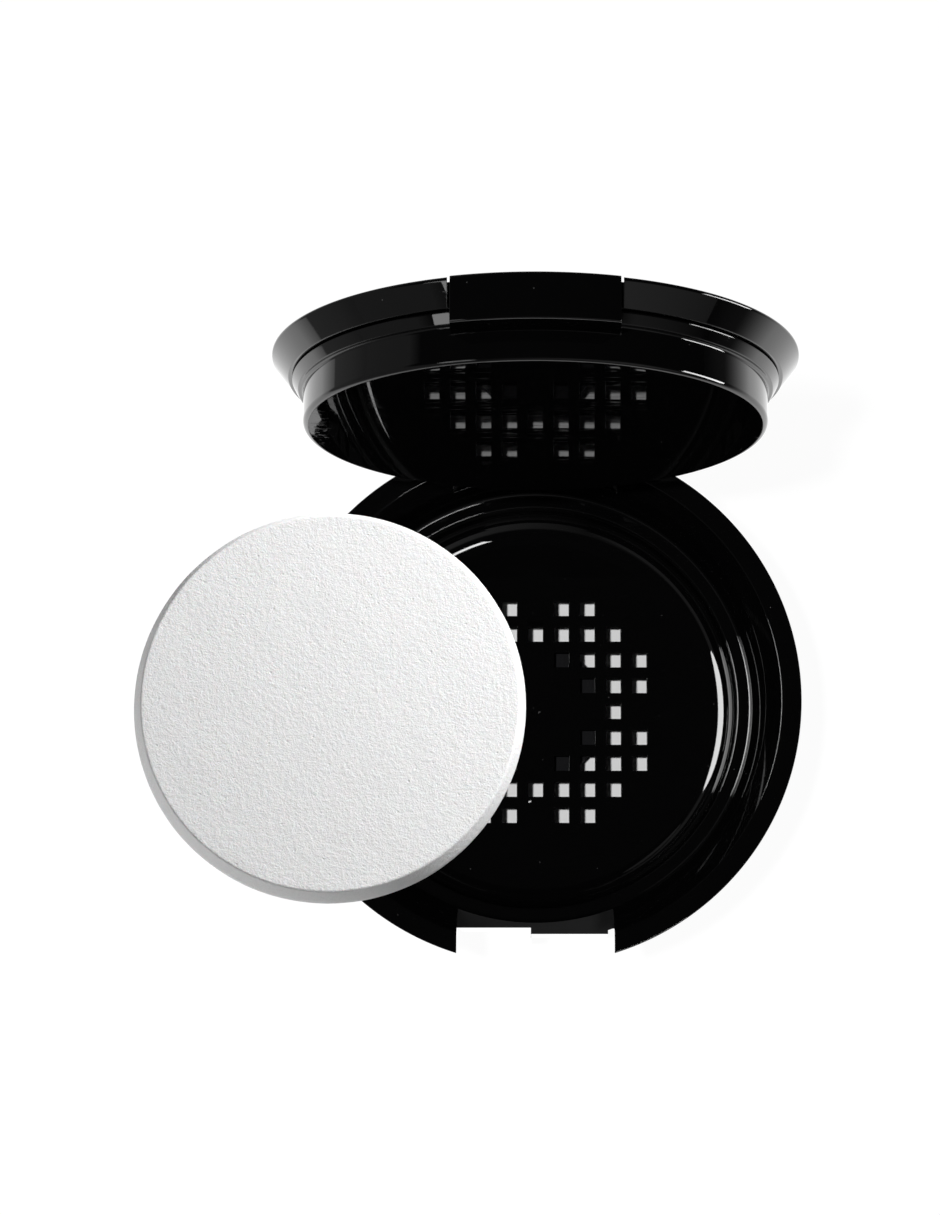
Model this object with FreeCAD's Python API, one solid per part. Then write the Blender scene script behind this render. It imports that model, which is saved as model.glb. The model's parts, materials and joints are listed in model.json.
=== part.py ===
import FreeCAD, Part
import math
import os

# Round two-tier powder compact: a deep base with a vented sponge well, a powder tray and a
# mirror lid on one hinge at the back, and a loose round sponge.
# Millimetres. +Z is up, the origin is the centre of the foot on the table, the thumb notch is
# at -Y and the hinge at +Y. Heights are measured up from the table unless a name says drop or depth.

# Base shell
RIM_RADIUS = 40.0
BASE_HEIGHT = 21.5
RIM_LIP = 0.8
BEVEL_WIDTH = 2.95
BEVEL_DROP = 0.6
SEAT_WIDTH = 2.2
SEAT_DROP = 2.85
CAVITY_TAPER = 1.85
LAND_DEPTH = 10.45
LAND_WIDTH = 2.0
WELL_TAPER = 0.3
WELL_DEPTH = 7.35
WALL = 1.8
LAND_THICKNESS = 1.5
FLOOR_THICKNESS = 1.5
FLARE_DROP = 4.2
FOOT_TAPER = 0.5
FOOT_CHAMFER = 0.5
WELL_FLOOR_ROUND = 4.5
WELL_MOUTH_ROUND = 0.7
LAND_ROUND = 0.2
GROOVE_WIDTH = 0.6

# Vents and moulding marks in the well floor
VENT_SIZE = 2.3
VENT_PITCH = 4.06
VENT_ROWS = {0: (3,), 1: (2, 3, 4), 2: (1, 2, 3, 4), 3: (0, 1, 2, 3), 4: (1, 2)}
PIN_MARK_RADIUS = 2.3
PIN_MARK_STEPS = 4
PIN_MARK_DEPTH = 0.12
GATE_MARK_RADIUS = 0.6
GATE_MARK_DEPTH = 0.3
LABEL_RADIUS = 10.7
LABEL_THICKNESS = 0.25

# Thumb notch at the front of the base
NOTCH_HALF_WIDTH = 11.75
NOTCH_LEDGE_RISE = 1.0
PANEL_LEFT = -11.3
PANEL_STEP = -0.7
PANEL_RIGHT = 11.0
PANEL_LEFT_FRONT = 34.0
PANEL_RIGHT_FRONT = 34.95
PANEL_DEPTH = 2.4

# Hinge at the back
HINGE_INSET = 2.0
HINGE_DROP = 2.5
BARREL_RADIUS = 1.7
PIN_RADIUS = 0.6
PIN_RUNNING_GAP = 0.05
PIN_SEAT_GAP = 0.02
PIN_RECESS = 0.2
LID_KNUCKLE_HALF = 3.2
TRAY_KNUCKLE_WIDTH = 2.9
EAR_WIDTH = 3.0
KNUCKLE_GAP = 0.2
HINGE_GAP = 0.5
HINGE_NOTCH_MARGIN = 3.0
HINGE_BOSS_HEIGHT = 4.5
HINGE_BOSS_SETBACK = 0.9
OPEN_ANGLE = 94.0

# Lid
LID_GAP = 0.45
LID_PROUD = 0.35
LID_SKIRT = 3.5
LID_DOME = 1.0
LID_PLATE = 1.5
LID_WALL = 1.3
MIRROR_MARGIN = 0.8
MIRROR_THICKNESS = 1.1
TAPE_THICKNESS = 0.15
TAPE_MARGIN = 1.5

# Powder tray
PARTING_GAP = 0.15
FLANGE_SETBACK = 0.4
FLANGE_THICKNESS = 1.6
FLANGE_TAPER = 1.0
FLANGE_FILLET = 0.4
BOWL_GAP = 0.5
BOWL_FLOAT = 0.4
BOWL_WALL = 1.6
BOWL_FLOOR = 1.2
BOWL_ROUND = 0.6
BOWL_SINK = 0.24
TAB_HALF_WIDTH = 11.1
TAB_SETBACK = 2.45
TAB_THICKNESS = 2.6
TAB_HEIGHT = 6.4
TAB_LID_GAP = 0.4
TAB_SIDE_GAP = 0.35

# Powder pan
PAN_GAP = 0.3
PAN_SHEET = 0.4
PAN_DROP = 0.8
ADHESIVE_RADIUS = 24.0
ADHESIVE_THICKNESS = 0.15
POWDER_DROP = 0.3
POWDER_CROWN = 0.35

# Sponge, lying across the left of the rim
SPONGE_RADIUS = 29.5
SPONGE_THICKNESS = 7.0
SPONGE_BULGE = 1.7
SPONGE_SIDE_ROUND = 1.5
SPONGE_EDGE_ROUND = 0.5
SPONGE_CROWN = 0.3
SPONGE_X = -30.6
SPONGE_Y = -1.9
SPONGE_REST_GAP = 0.2

# Levels and radii that follow from the sizes above
SEAT_TOP_RADIUS = RIM_RADIUS - BEVEL_WIDTH
SEAT_TOP = BASE_HEIGHT - BEVEL_DROP
SEAT_FOOT_RADIUS = SEAT_TOP_RADIUS - SEAT_WIDTH
SEAT_FOOT = SEAT_TOP - SEAT_DROP
SEAT_SLOPE = SEAT_WIDTH / SEAT_DROP
LAND_RADIUS = SEAT_FOOT_RADIUS - CAVITY_TAPER
LAND = BASE_HEIGHT - LAND_DEPTH
MOUTH_RADIUS = LAND_RADIUS - LAND_WIDTH
FLOOR_RADIUS = MOUTH_RADIUS - WELL_TAPER
FLOOR = LAND - WELL_DEPTH
FLOOR_UNDERSIDE = FLOOR - FLOOR_THICKNESS
LEDGE = LAND + NOTCH_LEDGE_RISE
CAVITY_SLOPE = CAVITY_TAPER / (SEAT_FOOT - LAND)
FOOT_RADIUS = LAND_RADIUS + WALL + FOOT_TAPER

HINGE_Y = RIM_RADIUS - HINGE_INSET
HINGE_Z = BASE_HEIGHT - HINGE_DROP
HINGE_POINT = FreeCAD.Vector(0, HINGE_Y, HINGE_Z)
TRAY_KNUCKLE_INNER = LID_KNUCKLE_HALF + KNUCKLE_GAP
TRAY_KNUCKLE_OUTER = TRAY_KNUCKLE_INNER + TRAY_KNUCKLE_WIDTH
EAR_INNER = TRAY_KNUCKLE_OUTER + KNUCKLE_GAP
EAR_OUTER = EAR_INNER + EAR_WIDTH
HINGE_NOTCH_HALF = EAR_OUTER + HINGE_NOTCH_MARGIN
LID_REAR = HINGE_Y - BARREL_RADIUS - HINGE_GAP
HINGE_FLOOR = HINGE_Z - BARREL_RADIUS - HINGE_GAP

LID_TOP = BASE_HEIGHT + LID_PROUD
LID_FOOT = LID_TOP - LID_SKIRT
LID_TOP_RADIUS = SEAT_TOP_RADIUS + (LID_TOP - SEAT_TOP) * SEAT_SLOPE - LID_GAP
LID_FOOT_RADIUS = LID_TOP_RADIUS - LID_SKIRT * SEAT_SLOPE
LID_CEILING = LID_TOP - LID_PLATE
LID_BORE_RADIUS = LID_FOOT_RADIUS - LID_WALL
MIRROR_RADIUS = LID_BORE_RADIUS - MIRROR_MARGIN
TAPE_FACE = LID_CEILING - TAPE_THICKNESS

TRAY_TOP = LID_FOOT - PARTING_GAP
FLANGE_RADIUS = LID_FOOT_RADIUS - FLANGE_SETBACK
FLANGE_UNDERSIDE = TRAY_TOP - FLANGE_THICKNESS
BOWL_BOTTOM = LAND + BOWL_FLOAT
BOWL_RADIUS = LAND_RADIUS - BOWL_GAP
BOWL_BORE_RADIUS = BOWL_RADIUS - BOWL_WALL
BOWL_SEAT = BOWL_BOTTOM + BOWL_FLOOR
TAB_RADIUS = RIM_RADIUS - TAB_SETBACK
TAB_BACK_RADIUS = TAB_RADIUS - TAB_THICKNESS
TAB_BOTTOM = LID_TOP - TAB_HEIGHT

PAN_RADIUS = BOWL_BORE_RADIUS - PAN_GAP
PAN_BOTTOM = BOWL_SEAT + ADHESIVE_THICKNESS
PAN_TOP = TRAY_TOP - PAN_DROP
POWDER_BOTTOM = PAN_BOTTOM + PAN_SHEET
POWDER_EDGE = PAN_TOP - POWDER_DROP

# Reach of a cutting box that has to pass right out of the part
BEYOND = RIM_RADIUS + BASE_HEIGHT


def corner_points(before, corner, after, radius):
    """Start, middle and end of the arc that rounds one corner of an outline."""
    to_before = (before - corner).normalize()
    to_after = (after - corner).normalize()
    half = to_before.getAngle(to_after) / 2
    room = 0.62 * min((before - corner).Length, (after - corner).Length)
    along = min(radius / math.tan(half), room)
    bisector = (to_before + to_after).normalize()
    centre = corner + bisector * (along / math.cos(half))
    middle = centre - bisector * (along * math.tan(half))
    return corner + to_before * along, middle, corner + to_after * along


def crown_edge(start, top):
    """Arc from the edge of a crowned face to its top on the axis, where it is level."""
    rise = top.z - start.z
    radius = (start.x ** 2 + rise ** 2) / (2 * rise)
    half_way = start.x / 2
    drop = radius - math.sqrt(radius ** 2 - half_way ** 2)
    return Part.Arc(start, FreeCAD.Vector(half_way, 0, top.z - drop), top).toShape()


def lathe(outline, crowned=False):
    """Solid of revolution about Z from (radius, height) or (radius, height, corner round) points.

    A crowned solid has an arc as its last edge, up to the last point on the axis.
    """
    places = [FreeCAD.Vector(point[0], 0, point[1]) for point in outline]
    edges = []
    starts = []
    for index, point in enumerate(outline):
        corner = places[index]
        if len(point) < 3:
            starts.append((corner, corner))
            continue
        before = places[index - 1]
        after = places[(index + 1) % len(places)]
        start, middle, end = corner_points(before, corner, after, point[2])
        edges.append(Part.Arc(start, middle, end).toShape())
        starts.append((start, end))
    for index in range(len(places)):
        leave = starts[index][1]
        arrive = starts[(index + 1) % len(places)][0]
        if crowned and index == len(places) - 2:
            edges.append(crown_edge(leave, arrive))
        else:
            edges.append(Part.makeLine(leave, arrive))
    wire = Part.Wire(Part.__sortEdges__(edges))
    return Part.Face(wire).revolve(FreeCAD.Vector(0, 0, 0), FreeCAD.Vector(0, 0, 1), 360)


def box(x0, x1, y0, y1, z0, z1):
    """Box between two corners."""
    return Part.makeBox(x1 - x0, y1 - y0, z1 - z0, FreeCAD.Vector(x0, y0, z0))


def disc(radius, bottom, thickness):
    """Upright disc on the part's axis."""
    return Part.makeCylinder(radius, thickness, FreeCAD.Vector(0, 0, bottom))


def barrel(radius, x0, x1):
    """Cylinder on the hinge line from x0 to x1."""
    start = FreeCAD.Vector(x0, HINGE_Y, HINGE_Z)
    return Part.makeCylinder(radius, x1 - x0, start, FreeCAD.Vector(1, 0, 0))


def ring(outer, inner, bottom, top):
    """Upright ring on the part's axis."""
    return disc(outer, bottom, top - bottom).cut(disc(inner, bottom, top - bottom))


def opened(shape):
    """The shape as it stands with the tray tipped up at the back."""
    shape = shape.copy()
    shape.rotate(HINGE_POINT, FreeCAD.Vector(1, 0, 0), -OPEN_ANGLE)
    return shape


def mirrored_spans(inner, outer):
    """The left and right spans of a pair of knuckles or ears."""
    return ((-outer, -inner), (inner, outer))


# Base
def base_dish():
    """Turned shell: rim bevel, lid seat, tapered cavity, land, well and foot wall."""
    flare_foot = BASE_HEIGHT - FLARE_DROP
    flare_radius = SEAT_FOOT_RADIUS + WALL + (flare_foot - SEAT_FOOT) * CAVITY_SLOPE
    groove_radius = min(MOUTH_RADIUS + LAND_THICKNESS, FOOT_RADIUS - WALL - GROOVE_WIDTH)
    well_slope = WELL_DEPTH / WELL_TAPER
    groove_rise = (groove_radius - FLOOR_RADIUS - LAND_THICKNESS) * well_slope
    groove_top = min(FLOOR_UNDERSIDE + groove_rise, LAND - LAND_THICKNESS)
    return lathe([
        (0, FLOOR),
        (FLOOR_RADIUS, FLOOR, WELL_FLOOR_ROUND),
        (MOUTH_RADIUS, LAND, WELL_MOUTH_ROUND),
        (LAND_RADIUS, LAND, LAND_ROUND),
        (SEAT_FOOT_RADIUS, SEAT_FOOT),
        (SEAT_TOP_RADIUS, SEAT_TOP),
        (RIM_RADIUS, BASE_HEIGHT),
        (RIM_RADIUS, BASE_HEIGHT - RIM_LIP),
        (flare_radius, flare_foot, WALL),
        (FOOT_RADIUS, FOOT_CHAMFER),
        (FOOT_RADIUS - FOOT_CHAMFER, 0),
        (FOOT_RADIUS - WALL, 0),
        (FOOT_RADIUS - WALL, groove_top, LAND_ROUND),
        (groove_radius, groove_top, LAND_ROUND),
        (FLOOR_RADIUS + LAND_THICKNESS, FLOOR_UNDERSIDE, WELL_MOUTH_ROUND),
        (0, FLOOR_UNDERSIDE),
    ])


def vent_cutters():
    """Square holes of the well floor, placed row by row and mirrored in both directions."""
    half = VENT_SIZE / 2
    places = set()
    for row, columns in VENT_ROWS.items():
        for column in columns:
            for x_sign in (-1, 1):
                for y_sign in (-1, 1):
                    places.add((x_sign * column, y_sign * row))
    cutters = []
    for column, row in sorted(places):
        x = column * VENT_PITCH
        y = row * VENT_PITCH
        cutters.append(box(x - half, x + half, y - half, y + half, FLOOR_UNDERSIDE - 1, FLOOR + 1))
    return cutters


def moulding_mark_cutters():
    """Shallow round ejector marks and the gate mark in the well floor."""
    reach = PIN_MARK_STEPS * VENT_PITCH
    marks = []
    for x, y in ((reach, 0), (-reach, 0), (0, reach), (0, -reach)):
        mark = disc(PIN_MARK_RADIUS, FLOOR - PIN_MARK_DEPTH, 1)
        mark.translate(FreeCAD.Vector(x, y, 0))
        marks.append(mark)
    marks.append(disc(GATE_MARK_RADIUS, FLOOR - GATE_MARK_DEPTH, 1))
    return marks


def notch_panel():
    """Straight front panel under the thumb notch: the right half stands further out as the catch."""
    left = box(PANEL_LEFT, PANEL_STEP, -PANEL_LEFT_FRONT, PANEL_DEPTH - PANEL_LEFT_FRONT, 0, LEDGE)
    right = box(PANEL_STEP, PANEL_RIGHT, -PANEL_RIGHT_FRONT, PANEL_DEPTH - PANEL_LEFT_FRONT, 0, LEDGE)
    return left.fuse(right).cut(disc(FOOT_RADIUS - WALL / 2, 0, BASE_HEIGHT))


def hinge_boss():
    """Block on the back wall that carries the two hinge ears."""
    back = HINGE_Y + BARREL_RADIUS - HINGE_BOSS_SETBACK
    front = SEAT_FOOT_RADIUS
    block = box(-EAR_OUTER, EAR_OUTER, front - WALL, back, HINGE_FLOOR - HINGE_BOSS_HEIGHT, HINGE_FLOOR)
    ears = []
    for x0, x1 in mirrored_spans(EAR_INNER, EAR_OUTER):
        post = box(x0, x1, HINGE_Y - BARREL_RADIUS, back, HINGE_FLOOR, HINGE_Z)
        ears.append(post.fuse(barrel(BARREL_RADIUS, x0, x1)))
    return block, ears


def make_base_shell():
    shell = base_dish()
    notch = box(-NOTCH_HALF_WIDTH, NOTCH_HALF_WIDTH, -BEYOND, 0, LEDGE, BEYOND)
    left_flat = box(-NOTCH_HALF_WIDTH, PANEL_STEP, -BEYOND, -PANEL_LEFT_FRONT, -1, LEDGE)
    right_flat = box(PANEL_STEP, NOTCH_HALF_WIDTH, -BEYOND, -PANEL_RIGHT_FRONT, -1, LEDGE)
    hinge_notch = box(-HINGE_NOTCH_HALF, HINGE_NOTCH_HALF, 0, BEYOND, HINGE_FLOOR, BEYOND)
    shell = shell.cut([notch, left_flat, right_flat, hinge_notch])
    block, ears = hinge_boss()
    cavity_side = disc(SEAT_FOOT_RADIUS, 0, BASE_HEIGHT)
    shell = shell.fuse([notch_panel(), block.cut(cavity_side)] + ears)
    cutters = vent_cutters() + moulding_mark_cutters()
    cutters.append(barrel(PIN_RADIUS + PIN_SEAT_GAP, -BEYOND, BEYOND))
    return shell.cut(cutters).removeSplitter()


def make_base_label():
    return disc(LABEL_RADIUS, FLOOR_UNDERSIDE - LABEL_THICKNESS, LABEL_THICKNESS)


def make_hinge_pin():
    return barrel(PIN_RADIUS, PIN_RECESS - EAR_OUTER, EAR_OUTER - PIN_RECESS)


# Powder tray, drawn closed
def make_powder_tray():
    bowl = lathe([
        (0, BOWL_SEAT),
        (BOWL_BORE_RADIUS, BOWL_SEAT, BOWL_ROUND),
        (BOWL_BORE_RADIUS, TRAY_TOP),
        (FLANGE_RADIUS, TRAY_TOP),
        (FLANGE_RADIUS - FLANGE_TAPER, FLANGE_UNDERSIDE),
        (BOWL_RADIUS, FLANGE_UNDERSIDE, FLANGE_FILLET),
        (BOWL_RADIUS, BOWL_BOTTOM, BOWL_ROUND),
        (0, BOWL_BOTTOM + BOWL_SINK),
    ], crowned=True)
    tab_span = box(-TAB_HALF_WIDTH, TAB_HALF_WIDTH, -BEYOND, 0, -BEYOND, BEYOND)
    upright = ring(TAB_RADIUS, TAB_BACK_RADIUS, TAB_BOTTOM, LID_TOP)
    web = ring(TAB_RADIUS, BOWL_RADIUS - BOWL_WALL / 2, TAB_BOTTOM, TRAY_TOP)
    bowl = bowl.fuse(upright.fuse(web).common(tab_span))
    for x0, x1 in mirrored_spans(TRAY_KNUCKLE_INNER, TRAY_KNUCKLE_OUTER):
        arm = box(x0, x1, BOWL_RADIUS - BOWL_WALL / 2, HINGE_Y, HINGE_Z - BARREL_RADIUS, TRAY_TOP)
        bowl = bowl.fuse([arm, barrel(BARREL_RADIUS, x0, x1)])
    return bowl.cut(barrel(PIN_RADIUS + PIN_RUNNING_GAP, -BEYOND, BEYOND)).removeSplitter()


def make_pan_adhesive():
    return disc(ADHESIVE_RADIUS, BOWL_SEAT, ADHESIVE_THICKNESS)


def make_powder_pan():
    cup = lathe([
        (0, PAN_BOTTOM),
        (PAN_RADIUS, PAN_BOTTOM, BOWL_ROUND + PAN_SHEET),
        (PAN_RADIUS, PAN_TOP),
        (PAN_RADIUS - PAN_SHEET, PAN_TOP),
        (PAN_RADIUS - PAN_SHEET, POWDER_BOTTOM, BOWL_ROUND),
        (0, POWDER_BOTTOM),
    ])
    return cup


def make_pressed_powder():
    radius = PAN_RADIUS - PAN_SHEET
    return lathe([
        (0, POWDER_BOTTOM),
        (radius, POWDER_BOTTOM, BOWL_ROUND),
        (radius, POWDER_EDGE),
        (0, POWDER_EDGE + POWDER_CROWN),
    ], crowned=True)


# Lid, drawn closed
def make_lid_cover():
    cover = lathe([
        (0, LID_CEILING),
        (LID_BORE_RADIUS, LID_CEILING),
        (LID_BORE_RADIUS, LID_FOOT),
        (LID_FOOT_RADIUS, LID_FOOT),
        (LID_TOP_RADIUS, LID_TOP),
        (0, LID_TOP + LID_DOME),
    ], crowned=True)
    tab_half = TAB_HALF_WIDTH + TAB_SIDE_GAP
    tab_notch = box(-tab_half, tab_half, -BEYOND, 0, LID_FOOT - 1, BEYOND)
    tab_notch = tab_notch.cut(disc(TAB_BACK_RADIUS - TAB_LID_GAP, 0, BEYOND))
    hinge_half = EAR_OUTER + HINGE_NOTCH_MARGIN - HINGE_GAP
    hinge_notch = box(-hinge_half, hinge_half, LID_REAR, BEYOND, 0, BEYOND)
    cover = cover.cut([tab_notch, hinge_notch])
    arm = box(-LID_KNUCKLE_HALF, LID_KNUCKLE_HALF, LID_BORE_RADIUS, HINGE_Y, HINGE_Z, HINGE_Z + BARREL_RADIUS)
    cover = cover.fuse([arm, barrel(BARREL_RADIUS, -LID_KNUCKLE_HALF, LID_KNUCKLE_HALF)])
    return cover.cut(barrel(PIN_RADIUS + PIN_RUNNING_GAP, -BEYOND, BEYOND)).removeSplitter()


def make_mirror_tape():
    return disc(MIRROR_RADIUS - TAPE_MARGIN, TAPE_FACE, TAPE_THICKNESS)


def make_mirror():
    return disc(MIRROR_RADIUS, TAPE_FACE - MIRROR_THICKNESS, MIRROR_THICKNESS)


# Sponge
def make_sponge():
    """Foam disc with a bulging side and a slight crown."""
    flat = SPONGE_RADIUS - SPONGE_BULGE
    pad = lathe([
        (0, 0),
        (flat, 0, SPONGE_EDGE_ROUND),
        (SPONGE_RADIUS, SPONGE_THICKNESS / 2, SPONGE_SIDE_ROUND),
        (flat, SPONGE_THICKNESS, SPONGE_EDGE_ROUND),
        (0, SPONGE_THICKNESS + SPONGE_CROWN),
    ], crowned=True)
    pad.translate(FreeCAD.Vector(SPONGE_X, SPONGE_Y, BASE_HEIGHT + SPONGE_REST_GAP))
    return pad


def main():
    os.makedirs("parts", exist_ok=True)
    nodes = {
        "base_shell": make_base_shell(),
        "base_label": make_base_label(),
        "hinge_pin": make_hinge_pin(),
        "powder_tray": opened(make_powder_tray()),
        "pan_adhesive": opened(make_pan_adhesive()),
        "powder_pan": opened(make_powder_pan()),
        "pressed_powder": opened(make_pressed_powder()),
        "lid_cover": opened(make_lid_cover()),
        "mirror_tape": opened(make_mirror_tape()),
        "mirror": opened(make_mirror()),
        "sponge": make_sponge(),
    }
    for name, shape in nodes.items():
        print(name, len(shape.Solids), "solid", round(shape.Volume, 1), "mm3", shape.isValid())
        shape.exportStep("parts/" + name + ".step")


main()
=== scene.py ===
"""Round two-tier powder compact with a foam sponge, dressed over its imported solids."""

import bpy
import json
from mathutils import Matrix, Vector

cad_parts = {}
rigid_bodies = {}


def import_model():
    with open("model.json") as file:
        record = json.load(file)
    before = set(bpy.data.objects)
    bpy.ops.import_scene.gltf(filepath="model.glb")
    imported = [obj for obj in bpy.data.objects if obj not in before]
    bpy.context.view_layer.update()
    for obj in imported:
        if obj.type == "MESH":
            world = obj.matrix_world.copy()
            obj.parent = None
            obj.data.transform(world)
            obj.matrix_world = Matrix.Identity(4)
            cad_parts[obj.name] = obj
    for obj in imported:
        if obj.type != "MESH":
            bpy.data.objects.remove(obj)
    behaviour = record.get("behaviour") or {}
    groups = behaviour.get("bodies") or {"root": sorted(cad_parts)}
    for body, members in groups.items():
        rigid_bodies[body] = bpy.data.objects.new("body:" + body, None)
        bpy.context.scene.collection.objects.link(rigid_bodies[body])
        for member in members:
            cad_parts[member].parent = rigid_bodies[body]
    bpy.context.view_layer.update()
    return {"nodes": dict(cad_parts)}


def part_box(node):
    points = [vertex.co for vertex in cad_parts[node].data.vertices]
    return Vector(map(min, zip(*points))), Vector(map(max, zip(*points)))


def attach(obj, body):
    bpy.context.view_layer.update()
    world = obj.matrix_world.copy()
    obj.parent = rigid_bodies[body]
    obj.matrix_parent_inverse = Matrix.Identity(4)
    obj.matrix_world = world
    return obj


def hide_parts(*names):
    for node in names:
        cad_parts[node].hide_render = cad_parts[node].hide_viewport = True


bl_info = {
    "name": "Powder compact",
    "version": (1, 0, 0),
    "blender": (4, 5, 0),
    "location": "View3D > Sidebar > Compact",
    "description": "Finishes for a round powder compact and its sponge",
    "category": "Object",
}

import json
import math
from collections import namedtuple

import bmesh
import bpy
from bpy.props import FloatProperty, FloatVectorProperty, IntProperty, PointerProperty
from mathutils import Matrix, Vector, noise

for leftover in list(bpy.data.objects):
    bpy.data.objects.remove(leftover)

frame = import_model()
MM = 0.001

# Arcs: the share of a side that a round may take, and the steps of wide and narrow ones
ROUND_ROOM = 0.62
WIDE_ARC = 1.0 * MM
WIDE_ARC_STEP = math.radians(4.0)
ARC_STEP = math.radians(11.0)
SHARP = math.radians(34.0)

# Tools reach past what they cut, and stand off faces that would coincide
PAST = 1.0 * MM
STEP_OFF = 0.03 * MM
KNUCKLE_IN = 0.02 * MM
TANGENT = 0.98

# Base
RIM_BAND = 0.8 * MM
FLARE_DROP = 4.2 * MM
FOOT_CHAMFER = 0.5 * MM
MOUTH_ROUND = 0.3 * MM
LAND_ROUND = 0.6 * MM
UNDER_ROUND = 0.7 * MM
GROOVE_WIDTH = 0.6 * MM
GROOVE_ROUND = 0.2 * MM
PANEL_INSET = (0.45 * MM, 0.75 * MM)
PANEL_DEPTH = 2.4 * MM
PANEL_LIFT = 0.05 * MM

# Vents and moulding marks of the floor; distances from the middle are in pitches
VENT_ROWS = 9
VENT_COUNT = 52
VENTS_FROM = 2.1
VENTS_TO = 4.6
MARK_STEPS = 4.0
MARK_DEPTH = 0.2 * MM
MARK_FLARE = 1.5
GATE_RADIUS = 0.6 * MM
GATE_DEPTH = 0.3 * MM

# Hinge
EARS = ((-9.48 * MM, -6.5 * MM), (6.5 * MM, 9.48 * MM))
EAR_ROOT = 0.2 * MM
EAR_SETBACK = 0.9 * MM
BOSS_HALF = 9.5 * MM
BOSS_DEPTH = 4.5 * MM
BASE_POCKET = 12.5 * MM
LID_POCKET = 12.0 * MM
HINGE_ROOM = 0.5 * MM
TRAY_KNUCKLES = ((-6.3 * MM, -3.4 * MM), (3.4 * MM, 6.3 * MM))
LID_KNUCKLE_HALF = 3.2 * MM
PIN_HELD = 0.02 * MM
PIN_FREE = 0.05 * MM

# Tray, lid and powder
SEAT_ROUND = 0.6 * MM
FLANGE_ROUND = 0.25 * MM
FLANGE_FILLET = 0.4 * MM
BOWL_ROUND = 0.7 * MM
TAB_ROUNDS = (0.4 * MM, 0.5 * MM)
TAB_SIDE_GAP = 0.35 * MM
TAB_BACK_GAP = 0.4 * MM
LID_PLATE = 1.5 * MM
LID_SKIRT = 1.3 * MM
LID_ROUND = 0.35 * MM
POWDER_ROUND = 0.15 * MM

# Sponge
SIDE_PROUD = 0.15 * MM
SIDE_ROUND = 3.0 * MM
FOAM_FLAT = 0.2 * MM
FOAM_RINGS = 40
WAVER_WIDE = 160.0
WAVER_FINE = 640.0

# Floor and world, as the camera and as reflections see them
FLOOR_REACH = 3.0
FLOOR_WHITE = 1.07
GLOW_SHARE = 0.9
UNDER_VENTS = 30.0 * MM
# Painted glow on the floor that only reflections see, strongest round the part
GLOW_NEAR = 0.13
GLOW_FAR = 0.4
GLOW_LEFT = -0.17
GLOW_EDGE = 0.01
GLOW_PEAK = 1.5
LEFT_WALL = 0.18
FRONT_WALL = (0.07, 0.34)
DARK_DOME = 0.012


# Node helpers

def put(tree, kind, x=0, y=0, **settings):
    """Adds a node, sets its plain settings and returns it."""
    made = tree.nodes.new(kind)
    made.location = (x, y)
    for key, value in settings.items():
        setattr(made, key, value)
    return made


def plug(tree, socket, value):
    """Links a socket to another node's output, or sets its value."""
    if isinstance(value, bpy.types.NodeSocket):
        tree.links.new(value, socket)
    else:
        socket.default_value = value


def feed(tree, made, **values):
    """Sets or links a node's inputs; an underscore in a name stands for a space."""
    for key, value in values.items():
        plug(tree, made.inputs[key.replace("_", " ")], value)
    return made


def maths(tree, operation, first, second=0.0, third=0.0):
    """A sum, product or comparison of values."""
    made = put(tree, "ShaderNodeMath", operation=operation)
    for socket, value in zip(made.inputs, (first, second, third)):
        plug(tree, socket, value)
    return made.outputs[0]


def times(tree, first, second):
    return maths(tree, "MULTIPLY", first, second)


def larger(tree, first, second):
    return maths(tree, "MAXIMUM", first, second)


def measure(tree, place):
    """The length of a vector, such as how far a place is from the origin."""
    made = put(tree, "ShaderNodeVectorMath", operation="LENGTH")
    tree.links.new(place, made.inputs[0])
    return made.outputs["Value"]


def split(tree, place):
    """The X, Y and Z of a vector."""
    made = put(tree, "ShaderNodeSeparateXYZ")
    tree.links.new(place, made.inputs[0])
    return made.outputs


def spread(tree, value, low, high, to_low=0.0, to_high=1.0):
    """Maps a value from one range to another, held at the ends."""
    made = put(tree, "ShaderNodeMapRange", clamp=True)
    feed(tree, made, Value=value, From_Min=low, From_Max=high, To_Min=to_low, To_Max=to_high)
    return made.outputs[0]


def tint(tree, factor, first, second):
    """Mixes two colours by a factor."""
    made = put(tree, "ShaderNodeMix", data_type="RGBA")
    for index, value in ((0, factor), (6, first), (7, second)):
        plug(tree, made.inputs[index], value)
    return made.outputs[2]


def grain(tree, place, size, detail=2.0, roughness=0.5):
    """Noise whose cells are about size metres across."""
    made = put(tree, "ShaderNodeTexNoise")
    feed(tree, made, Vector=place, Scale=1.0 / size, Detail=detail, Roughness=roughness)
    return made.outputs["Fac"]


def stretched(tree, place, turn, scale):
    """Object coordinates turned and stretched, for streaks."""
    made = put(tree, "ShaderNodeMapping")
    feed(tree, made, Vector=place, Rotation=turn, Scale=scale)
    return made.outputs[0]


def bump(tree, height, distance, strength=1.0, normal=None):
    """A normal tilted by a height, on top of another normal if there is one."""
    made = put(tree, "ShaderNodeBump")
    feed(tree, made, Height=height, Distance=distance, Strength=strength)
    if normal is not None:
        tree.links.new(normal, made.inputs["Normal"])
    return made.outputs[0]


def blank(name):
    """A new material with its tree, its shader and its object coordinates."""
    material = bpy.data.materials.new(name)
    material.use_nodes = True
    tree = material.node_tree
    tree.nodes.clear()
    shader = put(tree, "ShaderNodeBsdfPrincipled", 400)
    out = put(tree, "ShaderNodeOutputMaterial", 700)
    tree.links.new(shader.outputs[0], out.inputs[0])
    place = put(tree, "ShaderNodeTexCoord", -900).outputs["Object"]
    return material, tree, shader, place


def rgba(colour, share=1.0):
    """A colour, or a share of it, with full cover."""
    return (colour[0] * share, colour[1] * share, colour[2] * share, 1.0)


# Finishes

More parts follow.
